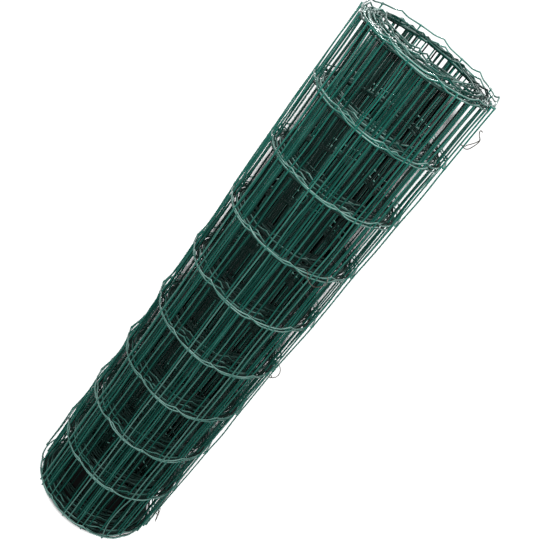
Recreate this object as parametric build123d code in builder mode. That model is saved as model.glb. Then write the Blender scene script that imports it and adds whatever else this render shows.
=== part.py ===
"""A roll of plastic-coated welded wire mesh fencing, standing on its end.

Millimetres, +Z up. The origin is on the bore's axis, in the plane that the roll stands on.
The sheet's free edge lies at the right, towards +X, and from there the turns run inwards
counter-clockwise as seen from above.
"""

import os
from math import cos, pi, radians, sin, sqrt

from build123d import *

os.makedirs("parts", exist_ok=True)

# The sheet of mesh: coated wire, welded into oblong cells
wire_d = 2.2
cell_height = 100.0
cells_high = 9
cell_width = 75.0
sheet_length = 10000.0

# How it is wound: the empty bore, and how far each turn lies outside the one before
bore_radius = 62.0
turn_step = 2.4
free_edge_angle = -5.4

# The relief that the outermost turn makes: its uprights stand furthest out, and its wires
# are drawn with few sides
upright_proud = 1.5
wire_sides = 6

# The gap that shows between two turns on each end
gap_width = 1.0
gap_depth = 8.0
bends_per_turn = 20
plain_turns = 1.2

# The tie wires that hold the free edge down: where each lies, and how long its tail is
tie_d = 1.1
tie_gap = 0.3
tie_reach = 4.2
tie_lean = 1.5
tie_bend = 1.4
top_tie_drop = 57.0
top_tail = 28.0
middle_tie_line = 4
middle_tie_drop = 6.0
middle_tail = 23.0
bottom_tie_rise = 43.0
bottom_tail = 17.0

# The tie wire on the front, which hangs slack from a line wire: which one, and how many cells
# of the outermost turn lie between it and the free edge
front_tie_line = 6
front_tie_cells = 1.3
front_tie_span = 32.0
front_tie_sag = 13.0

# What follows from those sizes
roll_height = cells_high * cell_height + wire_d
roll_radius = sqrt(bore_radius**2 + sheet_length * turn_step / pi)
wound_radius = roll_radius - upright_proud
upright_radius = roll_radius - wire_d / 2
uprights_around = round(2 * pi * roll_radius / cell_width)
line_heights = [wire_d / 2 + row * cell_height for row in range(cells_high + 1)]


def spiral_points(outer_radius, turns):
    """Points of a spiral that loses one turn_step each time it goes round."""
    points = []
    for bend in range(int(turns * bends_per_turn) + 1):
        gone_round = bend / bends_per_turn
        radius = outer_radius - turn_step * gone_round
        angle = radians(free_edge_angle) + 2 * pi * gone_round
        points.append((radius * cos(angle), radius * sin(angle)))
    return points


def gap_between_turns(end_plane):
    """The spiral gap between the turns, drawn on one end of the roll."""
    outer_side = wound_radius - turn_step + gap_width
    turns = (outer_side - bore_radius) / turn_step - plain_turns
    outline = spiral_points(outer_side, turns)
    outline += reversed(spiral_points(outer_side - gap_width, turns))
    with BuildSketch(end_plane) as gap:
        with BuildLine():
            Polyline(*outline, close=True)
        make_face()
    return gap.sketch


# The wound mesh, as one turned body with a ring for each line wire of the outermost turn
with BuildPart() as mesh_roll:
    with BuildSketch(Plane.XZ):
        with Locations((bore_radius, 0)):
            Rectangle(wound_radius - bore_radius, roll_height, align=(Align.MIN, Align.MIN))
        with Locations(*[(wound_radius, height) for height in line_heights]):
            RegularPolygon(wire_d / 2, wire_sides, rotation=180 / wire_sides)
    revolve(axis=Axis.Z)

    # The uprights of the outermost turn, the last of them at the free edge
    with BuildSketch():
        with PolarLocations(upright_radius, uprights_around, start_angle=free_edge_angle):
            RegularPolygon(wire_d / 2, wire_sides)
    extrude(amount=roll_height)

    extrude(gap_between_turns(Plane.XY.offset(roll_height)), amount=-gap_depth, mode=Mode.SUBTRACT)
    extrude(gap_between_turns(Plane.XY), amount=gap_depth, mode=Mode.SUBTRACT)
mesh_roll.part.label = "mesh_roll"


# How far out from the wound body a tie wire's middle lies: on the turns, and over a wire
on_turn = tie_gap + tie_d / 2
on_upright = upright_proud + on_turn
on_line_wire = wire_d / 2 + on_turn
past_wire = wire_d / 2 + tie_gap


def bend_tie_wire(name, angle, height, route):
    """A thin wire along a route on the outside of the roll, at that angle and height.

    A point of the route is how far it lies out from the wound body, along the turn, and above
    the tie's own height.
    """
    outwards = Vector(1, 0, 0).rotate(Axis.Z, angle)
    here = Plane(outwards * wound_radius + (0, 0, height), x_dir=outwards, z_dir=(0, 0, 1))
    with BuildPart() as tie_wire:
        with BuildLine(here) as path:
            FilletPolyline(*route, radius=tie_bend)
        with BuildSketch(Plane(origin=path.line @ 0, z_dir=path.line % 0)):
            RegularPolygon(tie_d / 2, wire_sides)
        sweep(path=path.line)
    tie_wire.part.label = name
    return tie_wire


def edge_tie(name, height, lean, tail_length, tail_shape):
    """A tie bent over the last upright, with its cut tail standing off the roll.

    The tail's points are shares of its length.
    """
    route = [
        (on_turn, -tie_reach, -lean),
        (on_upright, -past_wire, -lean / 3),
        (on_upright, past_wire, lean / 3),
        (on_turn, tie_reach, lean),
    ]
    route += [tuple(tail_length * share for share in point) for point in tail_shape]
    return bend_tie_wire(name, free_edge_angle, height, route)


# The three ties of the free edge: the top tail is a hook, the middle one a loop, and the
# bottom one points down
hook = [(0.35, 0.16, 0.21), (0.41, 0.11, 0.71), (0.16, 0.07, 1.0)]
loop = [(0.30, 0.21, 0.26), (0.34, 0.17, 0.65), (0.15, 0.13, 1.0)]
spur = [(0.32, 0.28, -0.38), (0.51, 0.24, -1.0)]
tie_wire_top = edge_tie("tie_wire_top", roll_height - top_tie_drop, tie_lean, top_tail, hook)
tie_wire_middle = edge_tie(
    "tie_wire_middle", line_heights[middle_tie_line] - middle_tie_drop, tie_lean, middle_tail, loop
)
tie_wire_bottom = edge_tie("tie_wire_bottom", bottom_tie_rise, -tie_lean, bottom_tail, spur)

# The front tie comes out over a line wire, hangs below it, and goes back in over it
front_tie_angle = free_edge_angle - front_tie_cells * 360 / uprights_around
half_span = front_tie_span / 2
falls_back = wound_radius - sqrt(wound_radius**2 - half_span**2)
one_side = [
    (on_turn - falls_back, half_span, tie_reach),
    (on_line_wire - falls_back, half_span, past_wire),
    (on_line_wire - falls_back, half_span, -past_wire),
    (on_line_wire, half_span / 2, -0.8 * front_tie_sag),
]
lowest = (on_line_wire, 0, -front_tie_sag)
other_side = [(out, -along, up) for out, along, up in reversed(one_side)]
tie_wire_front = bend_tie_wire(
    "tie_wire_front", front_tie_angle, line_heights[front_tie_line], one_side + [lowest] + other_side
)

export_step(mesh_roll.part, "parts/mesh_roll.step")
export_step(tie_wire_top.part, "parts/tie_wire_top.step")
export_step(tie_wire_middle.part, "parts/tie_wire_middle.step")
export_step(tie_wire_bottom.part, "parts/tie_wire_bottom.step")
export_step(tie_wire_front.part, "parts/tie_wire_front.step")
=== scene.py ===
"""A roll of green coated welded mesh fencing, standing on its end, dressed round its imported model."""

from math import pi, radians, sqrt

import bpy
import numpy as np
from mathutils import Matrix, Vector


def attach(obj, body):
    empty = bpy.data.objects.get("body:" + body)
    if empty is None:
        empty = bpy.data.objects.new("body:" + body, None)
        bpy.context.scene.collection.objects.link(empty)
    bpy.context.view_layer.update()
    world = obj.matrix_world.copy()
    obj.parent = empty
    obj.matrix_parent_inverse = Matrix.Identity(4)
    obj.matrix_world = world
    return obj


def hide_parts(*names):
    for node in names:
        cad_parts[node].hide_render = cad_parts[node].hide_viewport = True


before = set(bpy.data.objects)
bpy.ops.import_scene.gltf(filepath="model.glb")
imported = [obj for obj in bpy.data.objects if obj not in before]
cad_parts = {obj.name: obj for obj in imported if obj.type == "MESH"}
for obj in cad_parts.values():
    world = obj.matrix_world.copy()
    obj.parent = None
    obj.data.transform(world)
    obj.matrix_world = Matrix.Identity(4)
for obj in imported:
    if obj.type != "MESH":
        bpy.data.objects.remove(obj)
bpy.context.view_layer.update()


# Line wires
# Ten crimped wires run the whole length of the sheet, one every 100 mm of its height. They are
# steel with a green plastic coat, and each is welded to the inner side of the uprights.

wire_radius = 0.0011
cell_width = 0.075
cell_height = 0.100
cells_high = 9
sheet_length = 10.0
cells_long = int(sheet_length / cell_width)

# How the sheet is wound: from its free edge at the right it goes round counter-clockwise and
# inwards, and towards the bore the winding gets less round and drifts to the left
bore_radius = 0.062
turn_step = 0.0024
mean_radius = 0.084
turns_in_all = cells_long * cell_width / (2 * pi * mean_radius)
free_edge = radians(-5.4)
out_of_round = 0.0100
off_centre = 0.0040
sheet_radius = sqrt(bore_radius**2 + sheet_length * turn_step / pi) - wire_radius

# The outermost turn stands off behind, where nothing holds it down
loose_from = radians(4)
loose_over = radians(188)
loose_by = 0.0135

# Six ripples run round the turns, each of three to seven waves
random = np.random.default_rng(21)
ripple_height = 0.00035
ripple_waves = random.integers(3, 8, 6)
ripple_starts = random.uniform(0, 2 * pi, 6)
ripple_drifts = random.uniform(-0.35, 0.35, 6)


def sheet_radius_at(turned):
    """Distance from the bore's axis after the sheet has turned so far inwards.

    The outer radius less one step a turn, plus a twofold out-of-roundness and a shift to the
    left that both grow inwards, plus a sine-squared bulge over the loose stretch, plus ripples
    that change slowly from turn to turn and are larger towards the bore.
    """
    angle = free_edge + turned
    turns = turned / (2 * pi)
    depth = turns / turns_in_all
    loose = np.clip((turned - loose_from) / loose_over, 0, 1)
    ripple = sum(
        np.sin(waves * angle + start + drift * turns)
        for waves, start, drift in zip(ripple_waves, ripple_starts, ripple_drifts)
    )
    return (
        sheet_radius
        - turn_step * turns
        + out_of_round * depth * np.cos(2 * angle)
        - off_centre * depth * np.cos(angle)
        + loose_by * np.sin(pi * loose) ** 2
        + ripple_height * (1 + 2 * depth) * ripple
    )


# Where each upright falls: the sheet's length is measured along the winding, over twenty turns
turned_steps = np.linspace(0, 40 * pi, 14401)
step_lengths = sheet_radius_at(turned_steps) * (turned_steps[1] - turned_steps[0])
lengths = np.concatenate([[0], np.cumsum((step_lengths[1:] + step_lengths[:-1]) / 2)])
upright_turned = np.interp(np.arange(cells_long + 1) * cell_width, lengths, turned_steps)

# Each turn then slips a little, so that its uprights lie in the widest gaps that the turns outside
# it leave. The slots are directions across the roll, in radians: to hide one counts for a slip,
# but against it towards the roll's two edges, and each radian of slip has its cost. How far the
# outermost turn slips is given.
slots = np.linspace(-0.090, 0.090, 901)
slot_worth = np.where((slots > -0.072) & (slots < 0.060), 1, -0.5)
slip_cost = 9
slip_tries = 61
first_turn_slip = radians(-9)


def hidden_slots(turned, places):
    """Which upright slots across the roll the wires at turned hide, seen from each place.

    An upright is a plain disc on the ground plan. It hides a slot if the angle between them, seen
    from the place, is less than the wire's radius over its distance.
    """
    angle = free_edge + turned
    x = sheet_radius_at(turned) * np.cos(angle)
    y = sheet_radius_at(turned) * np.sin(angle)
    rows = []
    for place_x, place_y in places:
        distance = np.hypot(x - place_x, y - place_y)
        aside = np.arctan2(x - place_x, y - place_y) - np.arctan2(-place_x, -place_y)
        rows.append(np.any(np.abs(slots - aside[:, None]) < wire_radius / distance[:, None], axis=0))
    return np.array(rows)


def settle(upright_turned, places):
    """Slips each turn by the angle with which it hides most that was still open from the places.

    The slip grows evenly along a turn, by up to half a cell, and the turns further in keep it.
    """
    settled = upright_turned.copy()
    turn_of = np.floor(upright_turned / (2 * pi)).astype(int)
    share = upright_turned / (2 * pi) - turn_of
    slip = first_turn_slip
    settled[turn_of == 0] += slip * share[turn_of == 0]
    hidden = hidden_slots(settled[turn_of == 0], places)
    for turn in range(1, turn_of.max() + 1):
        here = turn_of == turn
        radius = sheet_radius_at(2 * pi * (turn + 0.5))
        tries = np.linspace(-0.5, 0.5, slip_tries) * cell_width / radius
        placed = [upright_turned[here] + slip + more * share[here] for more in tries]
        scores = [
            np.sum((hidden_slots(place, places) & ~hidden) * slot_worth) - slip_cost * abs(more)
            for place, more in zip(placed, tries)
        ]
        best = int(np.argmax(scores))
        settled[here] = placed[best]
        hidden |= hidden_slots(placed[best], places)
        slip += tries[best]
    return settled


# The turns are settled for the places of the camera and of the front lamp
camera_place = (0, -1.135, 1.123)
lamp_place = (0.004, -1.55, 1.28)
upright_turned = settle(upright_turned, [camera_place[:2], lamp_place[:2]])

# How far the sheet has slid up at these turns, and how far it sways up and down along its length
rise_turns = (0.0, 0.9, 1.4, 2.0, 6.0, 9.0, 13.0, 19.0)
rises = (0.007, 0.008, 0.002, 0.001, 0.001, 0.003, 0.005, 0.010)
sway = 0.0011
sway_waves = (1.31, 0.77)

# Where the outermost turn stands off near the foot: from which angle, over how much, how far,
# and up to which row
foot_stretches = (
    (radians(145), radians(95), 0.0060, 5.5),
    (radians(285), radians(70), 0.0050, 1.7),
)

# The welds lie a little off their true places, the same ones for the uprights and line wires
weld_shape = (cells_long + 1, cells_high + 1)
weld_spread = 0.0005
weld_spread_up = 0.0009
weld_along = random.normal(0, weld_spread, weld_shape)
weld_out = random.normal(0, weld_spread, weld_shape)
weld_up = random.normal(0, weld_spread_up, weld_shape)


def eased(values, places, axis):
    """Values of the welds read between them, with a smooth step from each to the next.

    The step is three times the share's square less twice its cube.
    """
    last = values.shape[axis] - 1
    below = np.clip(np.floor(places).astype(int), 0, last - 1)
    share = np.clip(places - below, 0, 1)
    share = share * share * (3 - 2 * share)
    low = np.take(values, below, axis)
    high = np.take(values, below + 1, axis)
    if axis == 1:
        share = share[None, :]
    else:
        share = share[:, None]
    return low + (high - low) * share


def sheet_points(turned, rows, along, out, up):
    """Points of the sheet in metres: so far round, so many rows up, and moved by these much.

    The height adds the slide at that turn and two sines, of a little more and a little less than
    one wave a turn, so that neighbouring turns cross. Near the foot the radius adds sine-squared
    bulges that shrink evenly upwards.
    """
    stands_off = sum(
        by
        * np.sin(pi * np.clip((turned - start) / over, 0, 1)) ** 2
        * np.clip(1 - rows / top_row, 0, 1)
        for start, over, by, top_row in foot_stretches
    )
    radius = sheet_radius_at(turned) + stands_off + out
    angle = free_edge + turned + along / radius
    rise = np.interp(turned / (2 * pi), rise_turns, rises)
    rise = rise + sway * sum(np.sin(wave * turned) for wave in sway_waves)
    height = wire_radius + rows * cell_height + rise + up
    return np.stack([radius * np.cos(angle), radius * np.sin(angle), height], axis=-1)


def wire_mesh(name, lines, radii, ahead, painted_shade=None, sides=8):
    """A mesh of round wires: a ring of vertices round each point of each line.

    lines holds wires by points by 3, radii wires by points, and ahead is the direction that the
    rings' first vertex looks to. A ring's vertex is its point plus the radius times the cosine
    and sine of its turn along two directions square to the line. Both ends are closed flat.
    The shade, wires by points, is kept in the mesh as the coat's painted shade.
    """
    wires, count = lines.shape[:2]
    along = np.gradient(lines, axis=1)
    along /= np.linalg.norm(along, axis=-1, keepdims=True)
    first = ahead - np.sum(ahead * along, axis=-1, keepdims=True) * along
    first /= np.linalg.norm(first, axis=-1, keepdims=True)
    second = np.cross(along, first)
    turn = np.arange(sides) * 2 * pi / sides
    ring = np.cos(turn)[:, None] * first[:, :, None] + np.sin(turn)[:, None] * second[:, :, None]
    points = lines[:, :, None] + radii[:, :, None, None] * ring

    starts = np.arange(wires * count).reshape(wires, count)[:, :-1, None] * sides
    side = np.arange(sides)
    after = (side + 1) % sides
    quads = np.stack([starts + side, starts + after, starts + sides + after, starts + sides + side], -1)
    first_caps = np.arange(wires)[:, None] * count * sides + side[::-1]
    last_caps = (np.arange(wires)[:, None] + 1) * count * sides - sides + side
    loops = np.concatenate([quads.ravel(), first_caps.ravel(), last_caps.ravel()])
    sizes = np.concatenate([np.full(quads.size // 4, 4), np.full(2 * wires, sides)])

    mesh = bpy.data.meshes.new(name)
    mesh.vertices.add(points.size // 3)
    mesh.vertices.foreach_set("co", points.ravel())
    mesh.loops.add(len(loops))
    mesh.loops.foreach_set("vertex_index", loops)
    mesh.polygons.add(len(sizes))
    mesh.polygons.foreach_set("loop_start", np.concatenate([[0], np.cumsum(sizes)[:-1]]))
    mesh.polygons.foreach_set("use_smooth", sizes == 4)
    mesh.update(calc_edges=True)
    if painted_shade is not None:
        kept = mesh.attributes.new("painted_shade", "FLOAT", "POINT")
        kept.data.foreach_set("value", np.repeat(painted_shade.ravel(), sides))
    piece = bpy.data.objects.new(name, mesh)
    bpy.context.scene.collection.objects.link(piece)
    return piece


def math_node(tree, operation, first, second):
    """One step of arithmetic on a socket, with a second socket or a plain number."""
    node = tree.nodes.new("ShaderNodeMath")
    node.operation = operation
    tree.links.new(first, node.inputs[0])
    if isinstance(second, (int, float)):
        node.inputs[1].default_value = second
    else:
        tree.links.new(second, node.inputs[1])
    return node.outputs["Value"]


def ranged(tree, value, start, end, low=0, high=1):
    """Goes evenly from low to high while the value goes from start to end, and no further."""
    node = tree.nodes.new("ShaderNodeMapRange")
    node.inputs["From Min"].default_value = start
    node.inputs["From Max"].default_value = end
    node.inputs["To Min"].default_value = low
    node.inputs["To Max"].default_value = high
    tree.links.new(value, node.inputs["Value"])
    return node.outputs["Result"]


def mixed(tree, share, first, second):
    """A colour from a socket that turns by the share into a second, plain one."""
    node = tree.nodes.new("ShaderNodeMix")
    node.data_type = "RGBA"
    node.inputs["B"].default_value = second
    tree.links.new(share, node.inputs["Factor"])
    tree.links.new(first, node.inputs["A"])
    return node.outputs["Result"]


def clouded(tree, scale):
    """A cloudy pattern over the wires, of about so many clouds to a metre."""
    place = tree.nodes.new("ShaderNodeTexCoord")
    clouds = tree.nodes.new("ShaderNodeTexNoise")
    clouds.inputs["Scale"].default_value = scale
    clouds.inputs["Detail"].default_value = 3
    tree.links.new(place.outputs["Object"], clouds.inputs["Vector"])
    return clouds.outputs["Fac"]


def two_colours(tree, value, low, high):
    """A colour that goes from low's to high's while the value goes from low's number to high's."""
    ramp = tree.nodes.new("ShaderNodeValToRGB")
    for stop, (position, colour) in enumerate((low, high)):
        ramp.color_ramp.elements[stop].position = position
        ramp.color_ramp.elements[stop].color = colour
    tree.links.new(value, ramp.inputs["Fac"])
    return ramp.outputs["Color"]


def upward_part(tree, vector):
    """How far up a place lies, or how much a direction looks up."""
    parts = tree.nodes.new("ShaderNodeSeparateXYZ")
    tree.links.new(vector, parts.inputs[0])
    return parts.outputs["Z"]


# The coat's colours: the two that its clouds range between, a grey green that paints a sheen near
# the foot, a near black that paints shade, and the dust, which also paints a highlight
deep_green = (0.010, 0.160, 0.122, 1)
light_green = (0.032, 0.225, 0.177, 1)
sheen_grey_green = (0.110, 0.245, 0.212, 1)
painted_shade_green = (0.0010, 0.009, 0.007, 1)
dust_and_highlight_colour = (0.54, 0.74, 0.69, 1)


def coat_material(name):
    """Green plastic over steel wire, with a soft gloss and cloudy tone.

    The shade kept in the mesh runs from 0, the coat's own colour, to 1, nearly black and duller:
    painted shade on the turns inside and on the back. Near the foot the outer turns take a painted
    grey sheen. Pale dust with a painted highlight lies on what looks up, most of it near the top.
    """
    material = bpy.data.materials.new(name)
    material.use_nodes = True
    tree = material.node_tree
    shader = tree.nodes["Principled BSDF"]
    shader.inputs["Specular IOR Level"].default_value = 0.08
    clouds = clouded(tree, 38)
    height = upward_part(tree, tree.nodes.new("ShaderNodeTexCoord").outputs["Object"])
    looks_up = upward_part(tree, tree.nodes.new("ShaderNodeNewGeometry").outputs["Normal"])
    # The painted shade kept in the mesh
    kept_shade = tree.nodes.new("ShaderNodeAttribute")
    kept_shade.attribute_name = "painted_shade"
    painted_shade = kept_shade.outputs["Fac"]

    # Painted sheen: the outer turns turn grey towards the foot. Painted shade: deeper in, the coat is
    # nearly black
    clouded_green = two_colours(tree, clouds, (0.35, deep_green), (0.68, light_green))
    near_foot = ranged(tree, height, 0.80, 0.35)
    outside = ranged(tree, painted_shade, 0, 0.5, 1, 0)
    sheened = mixed(tree, math_node(tree, "MULTIPLY", near_foot, outside), clouded_green, sheen_grey_green)
    green = mixed(tree, painted_shade, sheened, painted_shade_green)

    # Dust and a painted highlight lie in patches on what looks up, little on the turns in painted shade
    dust_and_highlight = ranged(tree, height, 0.30, 0.93, 0.27, 0.92)
    upward = ranged(tree, looks_up, 0.1, 0.9)
    patches = ranged(tree, clouds, 0.38, 0.60, 0.35, 1.35)
    out_of_painted_shade = ranged(tree, painted_shade, 0, 1, 1, 0.05)
    for share in (upward, patches, out_of_painted_shade):
        dust_and_highlight = math_node(tree, "MULTIPLY", dust_and_highlight, share)
    tree.links.new(mixed(tree, dust_and_highlight, green, dust_and_highlight_colour), shader.inputs["Base Color"])

    gloss = ranged(tree, clouds, 0, 1, 0.13, 0.22)
    duller = ranged(tree, painted_shade, 0, 1, 0, 0.5)
    tree.links.new(math_node(tree, "ADD", gloss, duller), shader.inputs["Roughness"])
    return material


# Painted shade on the back: it is made as dark as if it lay so many turns further in
shaded_turns = 8


def painted_shade_at(turned, height, low_reach, high_reach, power):
    """Painted shade: how dark the coat is made, least on the outer turns, the front and the top.

    It reaches full over as many turns as low_reach at the foot and high_reach at the top, and
    between them the reach grows with that power of the height. The back counts as up to shaded_turns
    further in, ever less towards the top.
    """
    turns = turned / (2 * pi)
    up = np.clip(height / (cells_high * cell_height), 0, 1)
    behind = (0.5 + 0.5 * np.sin(free_edge + turned)) * (1 - up**4)
    reach = low_reach + (high_reach - low_reach) * up**power
    deep = np.clip((turns + shaded_turns * behind) / reach, 0, 1)
    return deep * (2 - deep)


coat = coat_material("green_coat")

# Each cell of a line wire has one crimp in its middle, that takes up the slack of the fence: how
# high it rises, how far it reaches to either side, in cells, and how much it narrows upwards
crimp_height = 0.0040
crimp_spread = 0.0007
crimp_half = 0.21
crimp_power = 1.35

# A line wire lies this far inside the uprights, pressed a little into them by the welding. It
# reaches past the last of them by line_end, in cells, and bows in or out between them.
line_inset = 0.0019
line_end = 0.09
line_bow_spread = 0.0008
places_in_cell = np.array([0, 0.022, 0.055, 0.14, 0.22, 0.29, 0.36, 0.42, 0.47, 0.50,
                           0.53, 0.58, 0.64, 0.71, 0.78, 0.86, 0.945, 0.978])

# At a weld the coat is thicker, by this share of the wire, and over this far
weld_swelling = 0.22
weld_reach = 0.0028

line_cells = (np.arange(cells_long)[:, None] + places_in_cell).ravel()
line_cells = np.concatenate([[-line_end], line_cells, [cells_long, cells_long + line_end]])
line_turned = np.interp(line_cells, np.arange(cells_long + 1), upright_turned)
line_turned[0] -= line_end * cell_width / sheet_radius
line_turned[-1] += line_end * cell_width / bore_radius
from_middle = np.abs(line_cells % 1 - 0.5) / crimp_half
crimp_shape = np.where(from_middle < 1, (1 - from_middle) ** crimp_power, 0)
crimp_shape[0] = 0
crimp_shape[-1] = 0
from_weld = np.abs(line_cells - np.round(line_cells)) * cell_width
line_radii = wire_radius * (1 + weld_swelling * np.exp(-(from_weld / weld_reach) ** 2))

along_between = eased(weld_along, line_cells, 0)
out_between = eased(weld_out, line_cells, 0)
up_between = eased(weld_up, line_cells, 0)
cell_of_place = np.clip(line_cells.astype(int), 0, cells_long - 1)

# The line wires take this share of the painted shade, and over some of the turns painted shade
# darkens them more, by so much, so that the strands stand apart
line_share = 0.85
painted_shade_turns = (0.0, 1.9, 2.8, 4.2, 5.7, 7.2, 8.7, 10.2, 11.7, 13.3, 14.9, 16.5, 19.0)
painted_shade_by = (0.0, 0.0, 0.85, 0.85, 0.0, 0.85, 0.0, 0.80, 0.0, 0.70, 0.10, 0.60, 0.15)
line_painted_shade_by = np.interp(line_turned / (2 * pi), painted_shade_turns, painted_shade_by)
for row in range(cells_high + 1):
    crimps = random.normal(crimp_height, crimp_spread, cells_long)[cell_of_place]
    bows = random.normal(0, line_bow_spread, cells_long)[cell_of_place]
    bow = bows * np.sin(pi * (line_cells % 1)) ** 2
    line = sheet_points(
        line_turned, row, along_between[:, row], out_between[:, row] - line_inset + bow,
        up_between[:, row] + crimps * crimp_shape,
    )
    line[:, 2] = np.maximum(line[:, 2], line_radii)
    # The line wires' painted shade
    line_shade = painted_shade_at(line_turned, line[:, 2], low_reach=18, high_reach=75, power=6)
    line_shade = np.clip(line_share * line_shade + line_painted_shade_by, 0, 1)
    line_wire = wire_mesh(
        f"line_wire_{row + 1}", line[None], line_radii[None], np.array([0, 0, 1.0]), line_shade[None]
    )
    line_wire.data.materials.append(coat)
    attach(line_wire, "root")


# Uprights
# Straight cut lengths of the same coated wire, one every 75 mm along the sheet, welded to the
# outer side of the line wires. Handling has bent a few of them.

# Points along an upright in each cell, and how far it reaches past the edge wires, in cells
places_in_row = np.array([0, 0.02, 0.05, 0.20, 0.35, 0.50, 0.65, 0.80, 0.95, 0.98])
upright_end = 0.012
upright_rows = (np.arange(cells_high)[:, None] + places_in_row).ravel()
upright_rows = np.concatenate([[-upright_end], upright_rows, [cells_high, cells_high + upright_end]])
row_of_place = np.clip(upright_rows.astype(int), 0, cells_high - 1)
between_welds = np.sin(pi * np.clip(upright_rows - row_of_place, 0, 1)) ** 2
bow_along_spread = 0.0007
bow_out_spread = 0.0006
bows_along = random.normal(0, bow_along_spread, (cells_long + 1, cells_high))
bows_out = random.normal(0, bow_out_spread, (cells_long + 1, cells_high))

upright_along = eased(weld_along, upright_rows, 1) + bows_along[:, row_of_place] * between_welds
upright_out = eased(weld_out, upright_rows, 1) + bows_out[:, row_of_place] * between_welds
upright_up = eased(weld_up, upright_rows, 1)

# The bent ones: which turn and angle, which row of cells and where in it, and how far along the
# turn and outwards
bends = (
    (0, -63, 0, 0.45, -0.008, 0.001),
    (0, -30, 7, 0.65, -0.017, 0.002),
    (0, 175, 5, 0.50, 0.001, -0.005),
    (0, 175, 4, 0.45, 0.000, -0.006),
    (0, 175, 3, 0.50, 0.001, -0.008),
    (0, 175, 2, 0.55, 0.000, -0.007),
    (0, 175, 1, 0.50, 0.000, -0.004),
    (1, 175, 3, 0.50, 0.002, -0.005),
    (1, 175, 2, 0.55, 0.001, -0.004),
    (0, -145, 3, 0.60, 0.003, 0.001),
)
for turn, angle, row, place, along, out in bends:
    turned = (radians(angle) - free_edge) % (2 * pi) + turn * 2 * pi
    bent = np.argmin(np.abs(upright_turned - turned))
    in_cell = upright_rows - row
    share = np.clip(np.minimum(in_cell / place, (1 - in_cell) / (1 - place)), 0, 1)
    bend = np.sin(pi / 2 * share)
    upright_along[bent] += along * bend
    upright_out[bent] += out * bend

upright_lines = sheet_points(
    upright_turned[:, None], upright_rows[None, :], upright_along, upright_out, upright_up
)
upright_lines[:, 0, 2] = np.maximum(upright_lines[:, 0, 2], 0)
upright_lines[:, 1, 2] = np.maximum(upright_lines[:, 1, 2], wire_radius)
from_weld = np.abs(upright_rows - np.round(upright_rows)) * cell_height
upright_radii = wire_radius * (1 + weld_swelling * np.exp(-(from_weld / weld_reach) ** 2))
upright_radii = np.repeat(upright_radii[None], cells_long + 1, axis=0)
# The uprights' painted shade
upright_shade = painted_shade_at(
    upright_turned[:, None], upright_lines[:, :, 2], low_reach=17, high_reach=20, power=2
)

outer_uprights = upright_turned < 2 * pi
for name, chosen in (
    ("uprights_outer_turn", outer_uprights),
    ("uprights_inner_turns", ~outer_uprights),
):
    uprights = wire_mesh(
        name, upright_lines[chosen], upright_radii[chosen], np.array([1.0, 0, 0]), upright_shade[chosen]
    )
    uprights.data.materials.append(coat)
    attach(uprights, "root")
    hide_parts("mesh_roll")


# Tie wires
# Thin galvanised wires, bent by hand. Three hold the free edge down: each goes round the last
# upright and the wires under it, and its ends come together outside, cut off uneven. The fourth
# hangs slack from a line wire on the front.

tie_radius = 0.00065
stained_metal = (0.035, 0.032, 0.025, 1)
clean_metal = (0.15, 0.145, 0.125, 1)

# The angle round the roll and the height of each tie
tie_places = {
    "tie_wire_top": (free_edge, 0.8452),
    "tie_wire_middle": (free_edge, 0.3951),
    "tie_wire_bottom": (free_edge, 0.0430),
    "tie_wire_front": (radians(-52.5), 0.6081),
}

# Points in millimetres: out from the outermost turn, along it, and up from the tie's height
millimetre = 0.001
tie_routes = {
    "tie_wire_top": [
        (7.0, 0.6, 28.8), (4.2, 1.4, 29.0), (3.8, 2.2, 26.5), (6.6, 2.6, 22.5), (10.6, 2.4, 18.6),
        (8.4, 2.6, 12.5), (5.2, 3.0, 7.4), (2.4, 2.6, 3.6), (1.9, 0.2, 2.6), (0.4, -2.3, 1.6),
        (-3.4, -2.6, 0.6), (-5.6, 0.0, 0.0), (-3.4, 2.6, -0.6), (0.8, 2.5, -1.2), (3.2, 1.9, -1.4),
        (6.8, 1.4, 1.2), (9.6, 1.6, 8.0), (11.2, 2.0, 14.6), (11.0, 2.6, 18.2), (9.8, 1.4, 19.6),
    ],
    "tie_wire_middle": [
        (-4.2, 1.6, 26.4), (-1.4, 2.3, 25.2), (1.4, 2.5, 23.4), (5.4, 2.7, 19.4), (7.8, 2.6, 13.2),
        (7.4, 2.4, 6.4), (4.4, 2.1, 1.4), (1.9, 0.6, -0.2), (0.6, -2.2, 0.0), (-3.0, -2.5, 0.3),
        (-5.6, 0.0, 0.6), (-3.4, 2.6, 1.0), (0.8, 2.5, 1.5), (1.9, 0.2, 2.0), (1.4, -2.2, 2.2),
    ],
    "tie_wire_bottom": [
        (8.9, 1.5, -17.0), (6.6, 1.7, -11.0), (4.8, 1.9, -5.6), (2.0, 1.0, -1.0), (1.4, -1.7, 0.4),
        (-2.6, -2.6, 1.2), (-5.0, 0.0, 1.8), (-3.0, 2.6, 2.6), (0.9, 2.6, 3.4), (3.4, 2.4, 0.6),
        (5.6, 2.2, -5.2), (7.0, 1.2, -9.4), (7.8, 0.8, -13.2),
    ],
    "tie_wire_front": [
        (-6.4, -18.8, 3.2), (-4.0, -18.6, 4.6), (-1.6, -18.3, 3.2), (-1.0, -17.7, 0.4),
        (-0.2, -15.2, -2.8), (0.8, -11.5, -5.6), (1.6, -5.8, -9.1), (2.0, 0.0, -10.8),
        (1.9, 4.0, -10.6), (1.5, 8.7, -9.2), (0.8, 12.8, -7.1), (0.0, 16.8, -4.0),
        (-0.3, 16.4, -0.6), (-0.7, 14.9, 2.8), (-1.8, 13.6, 5.4), (-4.6, 13.0, 6.6),
    ],
}


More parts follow.
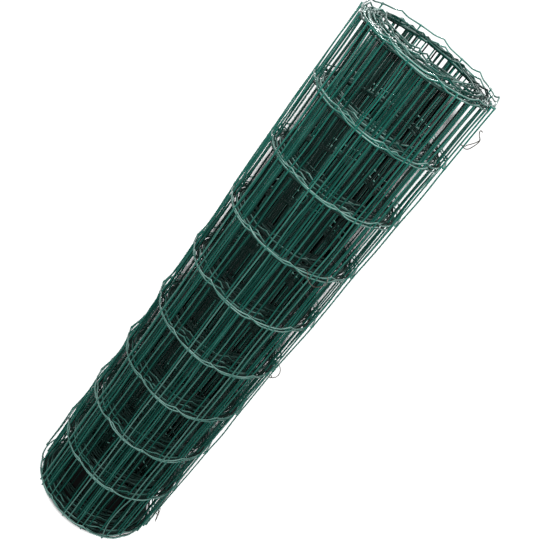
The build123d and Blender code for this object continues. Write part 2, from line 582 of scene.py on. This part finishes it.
def smooth_line(points, steps=8):
    """A line through the points, each stretch a cubic of the share gone along it.

    At each point it runs in the direction from the point before to the point after.
    """
    padded = np.concatenate([[2 * points[0] - points[1]], points, [2 * points[-1] - points[-2]]])
    before, start, end, after = (padded[n:len(padded) - 3 + n, None] for n in range(4))
    share = (np.arange(steps) / steps)[None, :, None]
    line = 0.5 * (
        2 * start + (end - before) * share
        + (2 * before - 5 * start + 4 * end - after) * share**2
        + (3 * start - before - 3 * end + after) * share**3
    )
    return np.concatenate([line.reshape(-1, 3), points[-1:]])


def least_followed(line):
    """The direction that the line runs along least, for its rings to look to."""
    steps = np.diff(line, axis=0)
    return np.linalg.eigh(steps.T @ steps)[1][:, 0]


def tie_material(name):
    """Thin galvanised wire, weathered dull, with darker stains along it."""
    material = bpy.data.materials.new(name)
    material.use_nodes = True
    tree = material.node_tree
    shader = tree.nodes["Principled BSDF"]
    shader.inputs["Metallic"].default_value = 0.7
    stains = clouded(tree, 260)
    colour = two_colours(tree, stains, (0.38, stained_metal), (0.62, clean_metal))
    tree.links.new(colour, shader.inputs["Base Color"])
    tree.links.new(ranged(tree, stains, 0, 1, 0.65, 0.40), shader.inputs["Roughness"])
    return material


tie_metal = tie_material("tie_metal")
for name, route in tie_routes.items():
    angle, height = tie_places[name]
    directions = Matrix.Rotation(angle, 3, "Z")
    points = np.array(route) * millimetre @ np.array(directions.transposed())
    points += np.array(directions @ Vector((sheet_radius, 0, height)))
    line = smooth_line(points)
    tie_radii = np.full((1, len(line)), tie_radius)
    tie = wire_mesh(name + "_bent", line[None], tie_radii, least_followed(line))
    tie.data.materials.append(tie_metal)
    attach(tie, "root")
    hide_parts(name)


# Floor
# A plain pale floor, which isn't part of the roll. To the camera and in reflections it is white,
# but for the roll's own shadow and a painted shadow under and behind the roll, and to all else it
# is a dark grey that throws back little light.

floor_half = 30.0
floor_grey = (0.12, 0.12, 0.12, 1)

# The front lamp lights the floor ever more aslant further off, so what is seen of it is made
# brighter by this much for each metre from the lamp
seen_per_metre = 0.77

# A painted shadow deepens the shadow in a circle under the roll, and in a strip behind it, as wide
# as the lamp's rays that pass near the roll's axis. Each pair is where that begins and where it is
# full: out from the axis, from the axis to the ray, and along the floor from below the lamp.
under_roll_edge = (0.102, 0.094)
strip_edge = (0.088, 0.072)
strip_start = (1.50, 1.54)
strip_end = (6.0, 5.9)
deepest = 0.004


def vector_node(tree, operation, first, second=None):
    """One step of arithmetic on a vector socket, with a plain vector where it takes one."""
    node = tree.nodes.new("ShaderNodeVectorMath")
    node.operation = operation
    tree.links.new(first, node.inputs[0])
    if second is not None:
        node.inputs[1].default_value = second
    return node


def seen_or_mirrored(tree):
    """1 on the rays of the camera, of reflections and of what is seen through glass, else 0."""
    rays = tree.nodes.new("ShaderNodeLightPath")
    mirrored = math_node(tree, "MAXIMUM", rays.outputs["Is Camera Ray"], rays.outputs["Is Glossy Ray"])
    return math_node(tree, "MAXIMUM", mirrored, rays.outputs["Is Transmission Ray"])


corners = [(-floor_half, -floor_half, 0), (floor_half, -floor_half, 0),
           (floor_half, floor_half, 0), (-floor_half, floor_half, 0)]
floor_mesh = bpy.data.meshes.new("floor")
floor_mesh.from_pydata(corners, [], [(0, 1, 2, 3)])
floor = bpy.data.objects.new("floor", floor_mesh)
bpy.context.scene.collection.objects.link(floor)
floor_material = bpy.data.materials.new("pale_floor")
floor_material.use_nodes = True
floor_tree = floor_material.node_tree
floor_nodes = floor_tree.nodes
floor_nodes.remove(floor_nodes["Principled BSDF"])
floor_place = floor_nodes.new("ShaderNodeTexCoord").outputs["Object"]
lamp_distance = vector_node(floor_tree, "DISTANCE", floor_place, lamp_place).outputs["Value"]
brightness = math_node(floor_tree, "MULTIPLY", lamp_distance, seen_per_metre)

# How far along the floor a point is, and how near to the axis the ray from below the lamp passes
below_lamp = Vector((lamp_place[0], lamp_place[1], 0))
from_lamp = vector_node(floor_tree, "SUBTRACT", floor_place, below_lamp).outputs["Vector"]
run = vector_node(floor_tree, "DOT_PRODUCT", from_lamp, (-below_lamp).normalized()).outputs["Value"]
direction = vector_node(floor_tree, "NORMALIZE", from_lamp).outputs["Vector"]
crossed = vector_node(floor_tree, "CROSS_PRODUCT", direction, below_lamp).outputs["Vector"]
passes_axis = vector_node(floor_tree, "LENGTH", crossed).outputs["Value"]
along_strip = math_node(
    floor_tree, "MULTIPLY", ranged(floor_tree, run, *strip_start), ranged(floor_tree, run, *strip_end)
)
in_strip = math_node(
    floor_tree, "MULTIPLY", along_strip, ranged(floor_tree, passes_axis, *strip_edge)
)
from_axis = vector_node(floor_tree, "LENGTH", floor_place).outputs["Value"]
under_roll = ranged(floor_tree, from_axis, *under_roll_edge)
# The painted shadow: under the roll or in the strip behind it
under_or_behind = math_node(floor_tree, "MAXIMUM", in_strip, under_roll)
deepened = ranged(floor_tree, under_or_behind, 0, 1, 1, deepest)

floor_colour = floor_nodes.new("ShaderNodeMix")
floor_colour.data_type = "RGBA"
floor_colour.inputs["A"].default_value = floor_grey
seen_floor = math_node(floor_tree, "MULTIPLY", brightness, deepened)
floor_tree.links.new(seen_floor, floor_colour.inputs["B"])
floor_tree.links.new(seen_or_mirrored(floor_tree), floor_colour.inputs["Factor"])
floor_shader = floor_nodes.new("ShaderNodeBsdfDiffuse")
floor_tree.links.new(floor_colour.outputs["Result"], floor_shader.inputs["Color"])
floor_tree.links.new(floor_shader.outputs["BSDF"], floor_nodes["Material Output"].inputs["Surface"])
floor_mesh.materials.append(floor_material)


# Light
# One small lamp behind the camera and above it, which doesn't weaken with distance. Two narrow
# lamps behind the roll light its back and its edges, and a third shines over its top. The
# surround is white to see and in reflections, and it adds little light.

front_data = bpy.data.lights.new("front_lamp", "POINT")
front_data.energy = 42
front_data.shadow_soft_size = 0.015
front_data.use_nodes = True
front_nodes = front_data.node_tree.nodes
evenly = front_nodes.new("ShaderNodeLightFalloff")
evenly.inputs["Strength"].default_value = 1
front_data.node_tree.links.new(evenly.outputs["Constant"], front_nodes["Emission"].inputs["Strength"])
front = bpy.data.objects.new("front_lamp", front_data)
front.location = lamp_place
front.visible_camera = False
bpy.context.scene.collection.objects.link(front)

for name, energy, size, cone, place, aim in (
    ("back_lamp_left", 55, 0.10, 27, (-1.4, 1.5, 0.5), (0, 0, 0.50)),
    ("back_lamp_right", 55, 0.10, 27, (1.5, 1.4, 0.5), (0, 0, 0.50)),
    ("top_lamp", 110, 0.12, 12, (-0.3, 1.6, 1.75), (0, 0, 0.92)),
):
    lamp_data = bpy.data.lights.new(name, "SPOT")
    lamp_data.energy = energy
    lamp_data.shadow_soft_size = size
    lamp_data.spot_size = radians(cone)
    lamp_data.spot_blend = 0.5
    lamp = bpy.data.objects.new(name, lamp_data)
    lamp.location = place
    lamp.rotation_mode = "QUATERNION"
    lamp.rotation_quaternion = (Vector(aim) - Vector(place)).to_track_quat("-Z", "Y")
    lamp.visible_camera = False
    bpy.context.scene.collection.objects.link(lamp)

surround_light = 0.03
world = bpy.data.worlds.new("surround")
world.use_nodes = True
world_tree = world.node_tree
background = world_tree.nodes["Background"]
background.inputs["Color"].default_value = (1, 1, 1, 1)
strength = world_tree.nodes.new("ShaderNodeMix")
strength.inputs["A"].default_value = surround_light
strength.inputs["B"].default_value = 1.0
world_tree.links.new(seen_or_mirrored(world_tree), strength.inputs["Factor"])
world_tree.links.new(strength.outputs["Result"], background.inputs["Strength"])
bpy.context.scene.world = world


# Camera
# It looks down on the roll's top from in front. It is turned about its own line of sight, then
# tipped up from looking straight down, and last turned a little about the upright.

camera_roll = radians(37.75)
camera_tip = radians(62.53)
camera_turn = radians(-0.40)
camera_data = bpy.data.cameras.new("camera")
camera_data.lens = 59.47
camera_data.sensor_width = 36
camera_data.clip_start = 0.05
camera_data.clip_end = 100
camera = bpy.data.objects.new("camera", camera_data)
camera.rotation_mode = "QUATERNION"
turned_to = (
    Matrix.Rotation(camera_turn, 3, "Z")
    @ Matrix.Rotation(camera_tip, 3, "X")
    @ Matrix.Rotation(camera_roll, 3, "Z")
)
camera.location = camera_place
camera.rotation_quaternion = turned_to.to_quaternion()
bpy.context.scene.collection.objects.link(camera)
bpy.context.scene.camera = camera
bpy.context.scene.view_settings.view_transform = "Standard"
